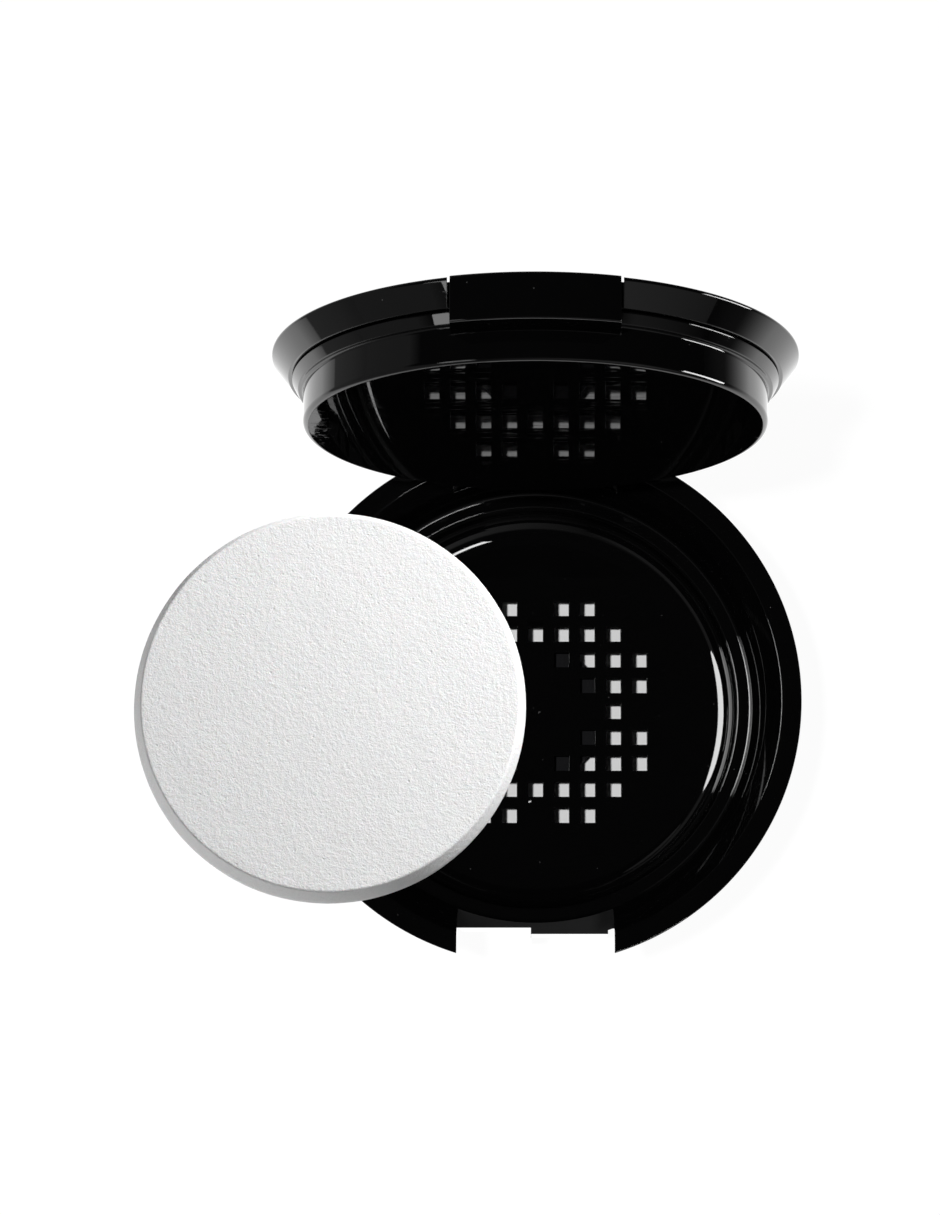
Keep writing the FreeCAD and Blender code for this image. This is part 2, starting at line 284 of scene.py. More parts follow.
def gloss_plastic(finish):
    """Polished black moulding: slow waviness, hairline wipe marks and a little dust."""
    material, tree, shader, place = blank("gloss_black_plastic")
    wide = grain(tree, place, 9.0 * MM, 1.0)
    haze = grain(tree, place, 2.5 * MM, 3.0)
    wipe_a = grain(tree, stretched(tree, place, (0.0, 0.0, 0.5), (1.0, 26.0, 26.0)), 6.0 * MM, 1.0)
    wipe_b = grain(tree, stretched(tree, place, (0.3, 0.2, -0.9), (1.0, 30.0, 30.0)), 7.0 * MM, 1.0)
    hairs = larger(tree, spread(tree, wipe_a, 0.66, 0.74), spread(tree, wipe_b, 0.67, 0.75))
    specks = put(tree, "ShaderNodeTexVoronoi")
    feed(tree, specks, Vector=place, Scale=1.0 / (2.2 * MM))
    speck = spread(tree, specks.outputs["Distance"], 0.03, 0.05, 1.0, 0.0)
    dust = times(tree, speck, spread(tree, haze, 0.5, 0.62))
    clean = tint(tree, haze, rgba(finish.plastic, 0.75), rgba(finish.plastic))
    shade = tint(tree, times(tree, dust, 0.35), clean, (0.16, 0.16, 0.16, 1.0))
    polish = spread(tree, haze, 0.3, 0.7, finish.polish * 0.7, finish.polish * 1.4)
    wear = maths(tree, "ADD", times(tree, hairs, 0.05), times(tree, dust, 0.4))
    rough = maths(tree, "ADD", polish, wear)
    soft_edge = put(tree, "ShaderNodeBevel", samples=4)
    feed(tree, soft_edge, Radius=finish.edge)
    waves = bump(tree, wide, 0.008 * MM, 0.5, soft_edge.outputs[0])
    marks = bump(tree, hairs, 0.002 * MM, 0.25, waves)
    feed(tree, shader, Base_Color=shade, Roughness=rough, Normal=marks)
    return material


def satin_plastic(finish):
    """The same moulding where the mould was spark-eroded: fine matt grain."""
    material, tree, shader, place = blank("satin_black_plastic")
    fine = grain(tree, place, 0.18 * MM, 2.0)
    cloud = grain(tree, place, 3.0 * MM, 2.0)
    shade = tint(tree, cloud, rgba(finish.plastic), rgba(finish.plastic, 2.2))
    rough = spread(tree, fine, 0.3, 0.7, finish.satin * 0.85, finish.satin * 1.15)
    feed(tree, shader, Base_Color=shade, Roughness=rough, Normal=bump(tree, fine, 0.03 * MM, 0.4))
    return material


def matt_plastic(finish):
    """The same moulding inside the vents, which the mould leaves dull."""
    material, tree, shader, place = blank("matt_black_plastic")
    fine = grain(tree, place, 0.2 * MM, 2.0)
    shade = tint(tree, fine, rgba(finish.plastic), rgba(finish.plastic, 2.0))
    feed(tree, shader, Base_Color=shade, Roughness=spread(tree, fine, 0.3, 0.7, 0.85, 1.0))
    shader.inputs["Specular IOR Level"].default_value = 0.04
    return material


def foam_rubber(sponge):
    """White foam: fine pressed relief with a few open cells, whose colour carries painted shade, lit a
    little from inside.
    """
    material, tree, shader, place = blank("white_foam")
    fine = grain(tree, place, sponge.cell, 3.0, 0.65)
    lumps = grain(tree, place, sponge.cell * 2.6, 2.0, 0.6)
    mottled = grain(tree, place, 7.0 * MM, 2.0)
    pits = put(tree, "ShaderNodeTexVoronoi")
    feed(tree, pits, Vector=place, Scale=1.0 / (sponge.cell * 7.0))
    open_cell_pit_and_shade = spread(tree, pits.outputs["Distance"], 0.06, 0.12, 1.0, 0.0)
    height = maths(tree, "ADD", times(tree, fine, 0.5), times(tree, lumps, 0.65))
    height = maths(tree, "SUBTRACT", height, times(tree, open_cell_pit_and_shade, 0.25))
    dark = rgba(sponge.colour, 0.93)
    pale = tint(tree, spread(tree, fine, 0.3, 0.7), dark, rgba(sponge.colour))
    soft = tint(tree, times(tree, spread(tree, mottled, 0.3, 0.7), 0.25), pale, dark)
    # Open cells darker in colour: painted shade in the pits; their dip in the bump is relief
    shade = tint(tree, times(tree, open_cell_pit_and_shade, 0.12), soft, rgba(sponge.colour, 0.6))
    feed(
        tree,
        shader,
        Base_Color=shade,
        Roughness=spread(tree, fine, 0.3, 0.7, 0.85, 1.0),
        Normal=bump(tree, height, 0.29 * MM, 0.6),
    )
    feed(tree, shader, Subsurface_Weight=0.05, Subsurface_Scale=0.4 * MM, Sheen_Weight=0.08)
    shader.inputs["Specular IOR Level"].default_value = 0.2
    return material


def powder_cake(finish):
    """Pressed powder: fine grains over the weave that the press cloth leaves."""
    material, tree, shader, place = blank("pressed_powder_cake")
    warp = put(tree, "ShaderNodeTexWave", wave_type="BANDS", bands_direction="X")
    feed(tree, warp, Vector=place, Scale=0.314 / (0.9 * MM), Distortion=0.6, Detail=1.0)
    weft = put(tree, "ShaderNodeTexWave", wave_type="BANDS", bands_direction="Z")
    feed(tree, weft, Vector=place, Scale=0.314 / (0.9 * MM), Distortion=0.6, Detail=1.0)
    cloth = times(tree, warp.outputs["Fac"], weft.outputs["Fac"])
    grit = grain(tree, place, 0.12 * MM, 2.0)
    cloud = grain(tree, place, 6.0 * MM, 2.0)
    shade = tint(tree, cloud, rgba(finish.powder, 0.93), rgba(finish.powder))
    shade = tint(tree, times(tree, grit, 0.12), shade, rgba(finish.powder, 0.7))
    height = maths(tree, "ADD", times(tree, cloth, 0.6), times(tree, grit, 0.4))
    rough = spread(tree, grit, 0.3, 0.7, 0.82, 0.98)
    feed(tree, shader, Base_Color=shade, Roughness=rough, Normal=bump(tree, height, 0.05 * MM, 0.6))
    feed(tree, shader, Sheen_Weight=0.15)
    return material


def drawn_metal(name, colour, rough, turn):
    """Drawn or pressed metal with fine lines along one way."""
    material, tree, shader, place = blank(name)
    lines = grain(tree, stretched(tree, place, turn, (1.0, 30.0, 30.0)), 4.0 * MM, 3.0)
    stain = grain(tree, place, 5.0 * MM, 2.0)
    shade = tint(tree, stain, rgba(colour, 0.86), rgba(colour))
    feed(
        tree,
        shader,
        Base_Color=shade,
        Roughness=spread(tree, lines, 0.3, 0.7, rough * 0.75, rough * 1.25),
        Normal=bump(tree, lines, 0.01 * MM, 0.3),
        Metallic=1.0,
    )
    return material


def silvered_glass():
    """Mirror: silver behind glass, with the faintest wipe haze."""
    material, tree, shader, place = blank("silvered_glass")
    wipe = grain(tree, stretched(tree, place, (0.0, 0.4, 0.0), (1.0, 8.0, 8.0)), 12.0 * MM, 2.0)
    shade = tint(tree, wipe, (0.84, 0.87, 0.86, 1.0), (0.88, 0.9, 0.895, 1.0))
    feed(
        tree,
        shader,
        Base_Color=shade,
        Roughness=0.0,
        Metallic=1.0,
        Coat_Weight=0.4,
        Coat_Roughness=spread(tree, wipe, 0.45, 0.75, 0.015, 0.06),
    )
    return material


def fibre_sheet(name, colour, rough):
    """Paper or tape: short fibres and a soft mottle."""
    material, tree, shader, place = blank(name)
    fibres = grain(tree, stretched(tree, place, (0.2, 0.1, 0.6), (1.0, 7.0, 7.0)), 0.9 * MM, 3.0, 0.6)
    mottled = grain(tree, place, 1.6 * MM, 2.0)
    shade = tint(tree, mottled, rgba(colour, 0.85), rgba(colour))
    feed(
        tree,
        shader,
        Base_Color=shade,
        Roughness=spread(tree, fibres, 0.3, 0.7, rough * 0.9, min(1.0, rough * 1.1)),
        Normal=bump(tree, fibres, 0.02 * MM, 0.5),
    )
    return material


# Mesh helpers

def rounded(corners):
    """Outline points of (radius, height) or (radius, height, round) corners, with arcs at the rounds."""
    points = []
    for index, corner in enumerate(corners):
        here = Vector(corner[:2])
        if len(corner) < 3 or not corner[2]:
            points.append(here)
            continue
        back = Vector(corners[index - 1][:2]) - here
        ahead = Vector(corners[(index + 1) % len(corners)][:2]) - here
        half = back.angle(ahead) / 2
        along = min(corner[2] / math.tan(half), ROUND_ROOM * min(back.length, ahead.length))
        radius = along * math.tan(half)
        centre = here + (back.normalized() + ahead.normalized()).normalized() * (radius / math.sin(half))
        start = here + back.normalized() * along - centre
        end = here + ahead.normalized() * along - centre
        sweep = start.angle_signed(end)
        fineness = WIDE_ARC_STEP if radius > WIDE_ARC else ARC_STEP
        count = max(3, math.ceil(abs(sweep) / fineness))
        for step in range(count + 1):
            turned_start = start.copy()
            turned_start.rotate(Matrix.Rotation(-sweep * step / count, 2))
            points.append(centre + turned_start)
    return points


def crowned(edge_radius, edge_height, top_height, count):
    """Outline points from an edge to the axis along a shallow dome or dish."""
    points = []
    for step in range(1, count + 1):
        share = 1.0 - step / count
        points.append(Vector((edge_radius * share, top_height + (edge_height - top_height) * share * share)))
    return points


def turned(name, outline, steps, closed=False):
    """A body turned about the Z axis from outline points; a closed outline makes a ring."""
    work = bmesh.new()
    loops = []
    for point in outline:
        if point[0] < 1e-9:
            loops.append([work.verts.new((0.0, 0.0, point[1]))])
            continue
        loop = []
        for step in range(steps):
            turn = 2.0 * math.pi * step / steps
            loop.append(work.verts.new((point[0] * math.cos(turn), point[0] * math.sin(turn), point[1])))
        loops.append(loop)
    pairs = list(zip(loops, loops[1:]))
    if closed:
        pairs.append((loops[-1], loops[0]))
    for lower, upper in pairs:
        for step in range(steps):
            after = (step + 1) % steps
            if len(lower) == 1 and len(upper) == 1:
                continue
            if len(lower) == 1:
                work.faces.new((lower[0], upper[after], upper[step]))
            elif len(upper) == 1:
                work.faces.new((lower[step], lower[after], upper[0]))
            else:
                work.faces.new((lower[step], lower[after], upper[after], upper[step]))
    bmesh.ops.recalc_face_normals(work, faces=work.faces[:])
    return as_object(name, work)


def as_object(name, work):
    """Puts a finished bmesh in the scene."""
    mesh = bpy.data.meshes.new(name)
    work.to_mesh(mesh)
    work.free()
    piece = bpy.data.objects.new(name, mesh)
    bpy.context.scene.collection.objects.link(piece)
    return piece


def block(x0, x1, y0, y1, z0, z1):
    """A box between two corners, for cutting or joining."""
    work = bmesh.new()
    bmesh.ops.create_cube(work, size=1.0)
    for vert in work.verts:
        vert.co.x = x0 + (vert.co.x + 0.5) * (x1 - x0)
        vert.co.y = y0 + (vert.co.y + 0.5) * (y1 - y0)
        vert.co.z = z0 + (vert.co.z + 0.5) * (z1 - z0)
    return as_object("block", work)


def rod(radius, x0, x1, y, z, steps=64):
    """A round bar along X."""
    work = bmesh.new()
    place = Matrix.Translation(((x0 + x1) / 2, y, z)) @ Matrix.Rotation(math.radians(90.0), 4, "Y")
    bmesh.ops.create_cone(
        work, cap_ends=True, segments=steps, radius1=radius, radius2=radius, depth=x1 - x0, matrix=place
    )
    return as_object("rod", work)


def post(radius, x, y, z0, z1, steps=64, flare=0.0):
    """An upright round bar, which may flare upwards."""
    work = bmesh.new()
    place = Matrix.Translation((x, y, (z0 + z1) / 2))
    wide = radius + flare * (z1 - z0)
    bmesh.ops.create_cone(
        work, cap_ends=True, segments=steps, radius1=radius, radius2=wide, depth=z1 - z0, matrix=place
    )
    return as_object("post", work)


def combined(piece, tools, operation):
    """Cuts the tools from a piece, joins them to it or keeps what they share."""
    for tool in tools:
        step = piece.modifiers.new("combine", "BOOLEAN")
        step.operation = operation
        step.solver = "EXACT"
        step.object = tool
    flattened(piece)
    for tool in tools:
        old = tool.data
        bpy.data.objects.remove(tool)
        bpy.data.meshes.remove(old)
    return piece


def smoothed(piece):
    """Merges, points the faces outwards and shades smooth up to the sharp angle."""
    work = bmesh.new()
    work.from_mesh(piece.data)
    bmesh.ops.remove_doubles(work, verts=work.verts[:], dist=1e-7)
    bmesh.ops.recalc_face_normals(work, faces=work.faces[:])
    work.to_mesh(piece.data)
    work.free()
    piece.data.shade_smooth()
    piece.data.set_sharp_from_angle(angle=SHARP)
    even = piece.modifiers.new("even_normals", "WEIGHTED_NORMAL")
    even.keep_sharp = True
    even.weight = 60
    flattened(piece)
    return piece


def tipped_up(piece, shape):
    """Turns a piece that was drawn closed to where the opened tray stands."""
    hinge = Matrix.Translation((0.0, shape.hinge_y, shape.hinge_z))
    piece.data.transform(hinge @ Matrix.Rotation(-shape.open_angle, 4, "X") @ hinge.inverted())
    piece.data.update()
    return piece


def vent_tools(shape):
    """Square cutters on a grid, kept inside a ring and off the moulding marks."""
    tree = bpy.data.node_groups.new("vent_grid", "GeometryNodeTree")
    tree.interface.new_socket(name="Geometry", in_out="INPUT", socket_type="NodeSocketGeometry")
    sizes = {}
    for name in ("Pitch", "Hole", "Depth", "Inner", "Outer", "Marks", "Height"):
        sizes[name] = tree.interface.new_socket(name=name, in_out="INPUT", socket_type="NodeSocketFloat")
    tree.interface.new_socket(name="Geometry", in_out="OUTPUT", socket_type="NodeSocketGeometry")
    source = put(tree, "NodeGroupInput", -900)
    result = put(tree, "NodeGroupOutput", 900)
    span = times(tree, source.outputs["Pitch"], VENT_ROWS - 1.0)
    grid = put(tree, "GeometryNodeMeshGrid", -500)
    feed(tree, grid, Size_X=span, Size_Y=span, Vertices_X=VENT_ROWS, Vertices_Y=VENT_ROWS)
    away = measure(tree, put(tree, "GeometryNodeInputPosition").outputs[0])
    steps = maths(tree, "DIVIDE", away, source.outputs["Pitch"])
    beyond = maths(tree, "GREATER_THAN", steps, source.outputs["Inner"])
    within = maths(tree, "LESS_THAN", steps, source.outputs["Outer"])
    off_mark = maths(tree, "ABSOLUTE", maths(tree, "SUBTRACT", steps, source.outputs["Marks"]))
    kept = times(tree, beyond, within)
    kept = times(tree, kept, maths(tree, "GREATER_THAN", off_mark, 0.05))
    size = put(tree, "ShaderNodeCombineXYZ")
    feed(tree, size, X=source.outputs["Hole"], Y=source.outputs["Hole"], Z=source.outputs["Depth"])
    cube = feed(tree, put(tree, "GeometryNodeMeshCube"), Size=size.outputs[0])
    spots = put(tree, "GeometryNodeInstanceOnPoints", 100)
    feed(tree, spots, Points=grid.outputs["Mesh"], Selection=kept, Instance=cube.outputs["Mesh"])
    lift = put(tree, "ShaderNodeCombineXYZ")
    feed(tree, lift, Z=source.outputs["Height"])
    moved = put(tree, "GeometryNodeTransform", 300)
    feed(tree, moved, Geometry=spots.outputs[0], Translation=lift.outputs[0])
    plain = feed(tree, put(tree, "GeometryNodeRealizeInstances", 500), Geometry=moved.outputs[0])
    dressed = feed(tree, put(tree, "GeometryNodeSetMaterial", 700), Geometry=plain.outputs[0])
    dressed.inputs["Material"].default_value = bpy.data.materials["gloss_black_plastic"]
    tree.links.new(dressed.outputs[0], result.inputs[0])
    tools = bpy.data.objects.new("vents", bpy.data.meshes.new("vents"))
    bpy.context.scene.collection.objects.link(tools)
    maker = tools.modifiers.new("vent_grid", "NODES")
    maker.node_group = tree
    values = {
        "Pitch": shape.vent_pitch,
        "Hole": shape.vent_size,
        "Depth": 3.0 * shape.floor_thickness,
        "Inner": VENTS_FROM,
        "Outer": VENTS_TO,
        "Marks": MARK_STEPS,
        "Height": shape.floor_height - shape.floor_thickness / 2,
    }
    for name, value in values.items():
        maker[sizes[name].identifier] = value
    flattened(tools)
    bpy.data.node_groups.remove(tree)
    if len(tools.data.vertices) != 8 * VENT_COUNT:
        raise RuntimeError("the vent grid made %d corners" % len(tools.data.vertices))
    return tools


def flattened(piece):
    """Turns a piece and its modifiers into a plain mesh."""
    bpy.context.view_layer.update()
    graph = bpy.context.evaluated_depsgraph_get()
    plain = bpy.data.meshes.new_from_object(piece.evaluated_get(graph), depsgraph=graph)
    old = piece.data
    piece.modifiers.clear()
    piece.data = plain
    plain.name = piece.name
    if isinstance(old, bpy.types.Mesh) and old.users == 0:
        bpy.data.meshes.remove(old)
    return plain


def dress(piece, node, body):
    """The piece stands for a solid, which it hides, and rides its body."""
    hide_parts(node)
    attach(piece, body)


def coat(piece, *materials):
    """Gives a piece its finishes, in order."""
    piece.data.materials.clear()
    for material in materials:
        piece.data.materials.append(material)


def paint(node, material):
    """Gives a carried-over solid its finish."""
    coat(frame["nodes"][node], material)


# Lamps: matt and gloss say which surfaces see a lamp, and meets says what it lights
Lamp = namedtuple("Lamp", "name outline place aim width height power matt gloss meets")
MIDDLE = (0.0, 0.0, 0.02)
UPPER = (0.0, 0.045, 0.08)
FOAM = (-0.03, 0.0, 0.026)
LEVEL = (0.0, -0.03, 0.09)
LAMPS = (
    Lamp("vent_lamp", "RECTANGLE", (-0.2, -0.035, 0.9), MIDDLE, 0.07, 0.07, 5.6, True, False, "case"),
    Lamp("foam_lamp", "RECTANGLE", (0.25, 0.23, 0.245), FOAM, 0.08, 0.08, 3.15, True, False, "sponge"),
    Lamp("foam_fill", "RECTANGLE", (-0.36, -0.22, 0.06), FOAM, 0.4, 0.1, 0.65, True, False, "sponge"),
    Lamp("left_card", "ELLIPSE", (-0.59, 0.11, 0.29), MIDDLE, 0.48, 0.32, 6.2, False, True, "base"),
    Lamp("front_card", "RECTANGLE", (0.21, -0.35, 0.75), MIDDLE, 0.16, 0.12, 1.2, False, True, "base"),
    Lamp("right_card", "RECTANGLE", (0.34, -0.03, 0.09), LEVEL, 0.12, 0.16, 1.1, False, True, "upper"),
    Lamp("corner_card", "ELLIPSE", (-0.31, -0.35, 0.4), UPPER, 0.2, 0.11, 0.22, False, True, "upper"),
)


# Sizes and colours

def length(name, description, size, **limits):
    """A size in millimetres as a length property, with limits in millimetres."""
    return FloatProperty(
        name=name,
        description=description,
        default=size * MM,
        subtype="DISTANCE",
        unit="LENGTH",
        precision=5,
        **{limit: value * MM for limit, value in limits.items()},
    )


def angle(name, description, degrees):
    """An angle property, set in degrees."""
    return FloatProperty(
        name=name, description=description, default=math.radians(degrees), subtype="ANGLE", unit="ROTATION"
    )


def share(name, description, value):
    """A property between none and all."""
    return FloatProperty(
        name=name, description=description, default=value, subtype="FACTOR", min=0.0, max=1.0
    )


def hue(name, description, value):
    """A colour property."""
    return FloatVectorProperty(
        name=name, description=description, default=value, subtype="COLOR", size=3, min=0.0, max=1.0
    )


BASE_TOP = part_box("base_shell")[1]


class CompactShape(bpy.types.PropertyGroup):
    rim_radius: length("Rim radius", "Outer radius of the base's rim", BASE_TOP.x / MM)
    rim_height: length("Rim height", "Height of the base's rim above the table", BASE_TOP.z / MM)
    bevel_width: length("Rim bevel width", "Width of the sloping band inside the rim", 2.95)
    bevel_drop: length("Rim bevel drop", "Fall of that band", 0.6)
    seat_width: length("Seat width", "Width of the slope that the lid sits in", 2.2)
    seat_drop: length("Seat drop", "Fall of that slope", 2.85)
    land_radius: length("Land radius", "Outer radius of the flat round the well", 33.0)
    land_height: length("Land height", "Height of the flat round the well", 11.05)
    mouth_radius: length("Well mouth", "Radius of the well at its top", 31.0)
    well_radius: length("Well foot", "Radius of the well at its floor", 30.7)
    well_round: length("Well round", "Radius of the curve from the floor into the wall", 4.5)
    floor_height: length("Floor height", "Height of the well's floor", 3.7)
    floor_thickness: length("Floor thickness", "Thickness of the floor and of the land", 1.5)
    wall: length("Wall", "Thickness of the outer wall", 1.8)
    foot_radius: length("Foot radius", "Radius of the foot", 35.3)
    vent_pitch: length("Vent pitch", "From one vent to the next", 4.06)
    vent_size: length("Vent size", "Width of one square vent", 2.3)
    mark_radius: length("Ejector mark", "Radius of the round moulding marks", 2.3)
    notch_half: length("Notch half width", "Half the width of the thumb notch", 11.75)
    ledge: length("Ledge height", "Height of the matt ledge in the thumb notch", 12.05)
    panel_step: length("Panel step", "Where the front panel steps forward", -0.7)
    panel_left: length("Left panel", "How far out the left half of the panel stands", 34.0)
    panel_right: length("Right panel", "How far out the right half of the panel stands", 34.95)
    hinge_y: length("Hinge line", "Distance of the hinge line behind the centre", 38.0)
    hinge_z: length("Hinge height", "Height of the hinge line", 19.0)
    barrel: length("Hinge barrel", "Radius of the hinge knuckles", 1.7)
    pin: length("Hinge pin", "Radius of the hinge pin", 0.6)
    open_angle: angle("Open angle", "How far the tray is tipped up", 94.0)
    lid_top_radius: length("Lid radius", "Radius of the lid at its top edge", 37.333)
    lid_top: length("Lid height", "Height of the closed lid's edge", 21.85)
    lid_foot_radius: length("Lid foot radius", "Radius of the skirt's lower edge", 34.632)
    lid_foot: length("Lid foot", "Height of the closed skirt's lower edge", 18.35)
    lid_dome: length("Lid dome", "Rise of the lid's top", 1.0)
    tray_top: length("Tray top", "Height of the closed tray's flange", 18.2)
    flange_radius: length("Flange radius", "Radius of the tray's flange", 34.232)
    flange_thickness: length("Flange thickness", "Thickness of the tray's flange", 1.6)
    flange_taper: length("Flange taper", "How far the flange's side draws in downwards", 1.0)
    bowl_radius: length("Bowl radius", "Outer radius of the tray's bowl", 32.5)
    bowl_bottom: length("Bowl bottom", "Height of the closed bowl's underside", 11.45)
    bowl_wall: length("Bowl wall", "Thickness of the bowl's wall", 1.6)
    bowl_floor: length("Bowl floor", "Thickness of the bowl's floor", 1.2)
    bowl_sink: length("Bowl sink", "How far the bowl's underside is drawn in at its middle", 0.24)
    tab_half: length("Tab half width", "Half the width of the thumb tab", 11.1)
    tab_radius: length("Tab radius", "Outer radius of the thumb tab", 37.55)
    tab_thickness: length("Tab thickness", "Thickness of the thumb tab", 2.6)
    tab_height: length("Tab height", "Height of the thumb tab", 6.4)
    powder_radius: length("Powder radius", "Radius of the pressed cake", 30.2)
    powder_bottom: length("Powder bottom", "Height of the closed cake's underside", 13.2)
    powder_edge: length("Powder edge", "Height of the closed cake's edge", 17.1)
    powder_crown: length("Powder crown", "Rise of the cake at its middle", 0.35)
    around: IntProperty(
        name="Steps round", description="Points round each moulding", min=64, max=512, default=288
    )


class CompactFinish(bpy.types.PropertyGroup):
    plastic: hue("Plastic", "Colour of the black mouldings", (0.0016, 0.0016, 0.0017))
    polish: share("Polish", "Roughness of the polished plastic", 0.012)
    satin: share("Satin", "Roughness of the matt ledge in the thumb notch", 0.42)
    edge: length("Edge round", "Width of the rounded edges of the mouldings", 0.16, min=0.0, max=1.0)
    powder: hue("Powder", "Colour of the pressed powder", (0.62, 0.42, 0.30))
    label: hue("Label", "Colour of the blank label under the floor", (0.012, 0.012, 0.013))


class CompactSponge(bpy.types.PropertyGroup):
    colour: hue("Foam", "Colour of the foam", (0.87, 0.87, 0.87))
    cell: length("Cell", "Width of one cell of the foam", 0.26, min=0.05, max=3.0)
    bulge: length("Bulge", "How far the side stands out beyond the flat faces", 1.25)
    edge: length("Edge", "Round between the faces and the side", 0.45)
    crown: length("Crown", "Rise of the top face at its middle", 0.3)
    lean: FloatVectorProperty(
        name="Lean",
        description="How far the soft disc leans to the right and back, as a share of the height",
        size=2,
        default=(0.07, 0.09),
    )
    waver: length("Waver", "How far the soft surface wanders", 0.12, min=0.0, max=1.0)
    around: IntProperty(
        name="Steps round", description="Points round the edge", min=24, max=512, default=192
    )


class CompactStage(bpy.types.PropertyGroup):
    lens: FloatProperty(
        name="Lens",
        description="Focal length on a 36 mm frame",
        unit="CAMERA",
        min=20.0,
        max=300.0,
        default=88.77,
    )
    distance: length("Distance", "From the camera to the rim, along its axis", 450.0)
    pitch: angle("Pitch", "Tilt of the camera from straight down", 8.95)
    drop: length("Drop", "How far the rim's centre lies below the camera's axis", 13.47)
    slide: FloatProperty(
        name="Slide", description="Sideways shift of the frame, as a share of its long side", default=-0.0539
    )
    floor: hue("Floor", "Colour of the floor", (0.9, 0.9, 0.9))


# Pieces

class COMPACT_OT_base(bpy.types.Operator):
    """Make the base: turned dish, vents, thumb notch, front panel and hinge ears"""

    bl_idname = "compact.base"
    bl_label = "Base shell"

    def execute(self, context):
        shape = context.scene.compact_shape
        finish = context.scene.compact_finish
        finishes = (gloss_plastic(finish), satin_plastic(finish), matt_plastic(finish))
        edge = finish.edge
        top = shape.rim_height
        seat_top = top - shape.bevel_drop
        seat_foot = seat_top - shape.seat_drop
        seat_top_radius = shape.rim_radius - shape.bevel_width
        seat_foot_radius = seat_top_radius - shape.seat_width
        slope = (seat_foot_radius - shape.land_radius) / (seat_foot - shape.land_height)
        flare = top - FLARE_DROP
        flare_radius = seat_foot_radius + shape.wall + (flare - seat_foot) * slope
        under = shape.floor_height - shape.floor_thickness
        foot_bore = shape.foot_radius - shape.wall
        groove = min(shape.mouth_radius + shape.floor_thickness, foot_bore - GROOVE_WIDTH)
        steep = (shape.land_height - shape.floor_height) / (shape.mouth_radius - shape.well_radius)
        groove_rise = (groove - shape.well_radius - shape.floor_thickness) * steep
        groove_top = min(under + groove_rise, shape.land_height - shape.floor_thickness)
        outline = rounded([
            (0.0, shape.floor_height),
            (shape.well_radius, shape.floor_height, shape.well_round),
            (shape.mouth_radius, shape.land_height, MOUTH_ROUND),
            (shape.land_radius, shape.land_height, LAND_ROUND),
            (seat_foot_radius, seat_foot, edge),
            (seat_top_radius, seat_top, edge),
            (shape.rim_radius, top, edge),
            (shape.rim_radius, top - RIM_BAND, edge),
            (flare_radius, flare, shape.wall),
            (shape.foot_radius, FOOT_CHAMFER, edge),
            (shape.foot_radius - FOOT_CHAMFER, 0.0, edge),
            (foot_bore, 0.0, edge),
            (foot_bore, groove_top, GROOVE_ROUND),
            (groove, groove_top, GROOVE_ROUND),
            (shape.well_radius + shape.floor_thickness, under, UNDER_ROUND),
            (0.0, under),
        ])
        piece = turned("base_dish", outline, shape.around)
        self.cut_notch(piece, shape)
        self.add_hinge(piece, shape, seat_foot_radius)
        self.cut_floor(piece, shape)
        smoothed(piece)
        coat(piece, *finishes)
        for face in piece.data.polygons:
            level = abs(face.center.z - shape.ledge) < 0.02 * MM and face.normal.z > 0.9
            ledge = level and face.center.y < -0.9 * shape.mouth_radius
            inside = under < face.center.z < shape.floor_height - 0.2 * MM and abs(face.normal.z) < 0.2
            vent = inside and face.center.to_2d().length < 0.7 * shape.well_radius
            face.material_index = 1 if ledge else 2 if vent else 0
        dress(piece, "base_shell", "base")
        return {"FINISHED"}

    def cut_notch(self, piece, shape):
        half = shape.notch_half
        far = 2.0 * shape.rim_radius
        above = shape.ledge + PAST
        core_radius = shape.foot_radius - shape.wall / 2
        for x0, x1, front in (
            (PANEL_INSET[0] - half, shape.panel_step, shape.panel_left),
            (shape.panel_step, half - PANEL_INSET[1], shape.panel_right),
        ):
            panel = block(x0, x1, -front - PAST, PANEL_DEPTH - front, PANEL_LIFT, above)
            core = post(core_radius, 0.0, 0.0, -PAST, shape.rim_height, shape.around)
            combined(panel, [core], "DIFFERENCE")
            combined(piece, [panel], "UNION")
        notch = block(-half, half, -far, -0.5 * shape.mouth_radius, shape.ledge, far)
        # The two blocks overlap a little and end at different places, so that no faces coincide
        left = block(-half, shape.panel_step, -0.9 * far, -shape.panel_left, -PAST, above)
        right = block(
            0.99 * shape.panel_step, half, -0.8 * far, -shape.panel_right, -2.0 * PAST, above + PAST
        )
        combined(notch, [left, right], "UNION")
        combined(piece, [notch], "DIFFERENCE")

    def add_hinge(self, piece, shape, seat_foot_radius):
        far = 2.0 * shape.rim_radius
        floor = shape.hinge_z - shape.barrel - HINGE_ROOM
        back = shape.hinge_y + shape.barrel - EAR_SETBACK
        inner = seat_foot_radius - shape.wall
        boss = block(-BOSS_HALF, BOSS_HALF, inner, back, floor - BOSS_DEPTH, floor + PAST)
        core = post(seat_foot_radius, 0.0, 0.0, -PAST, shape.rim_height, shape.around)
        combined(boss, [core], "DIFFERENCE")
        combined(piece, [boss], "UNION")
        pocket = block(-BASE_POCKET, BASE_POCKET, 0.5 * shape.mouth_radius, far, floor, far)
        combined(piece, [pocket], "DIFFERENCE")
        for x0, x1 in EARS:
            front = shape.hinge_y - TANGENT * shape.barrel
            ear = block(x0, x1, front, back - STEP_OFF, floor - EAR_ROOT, shape.hinge_z)
            knuckle = rod(shape.barrel, x0 + KNUCKLE_IN, x1 - KNUCKLE_IN, shape.hinge_y, shape.hinge_z)
            combined(ear, [knuckle], "UNION")
            combined(piece, [ear], "UNION")

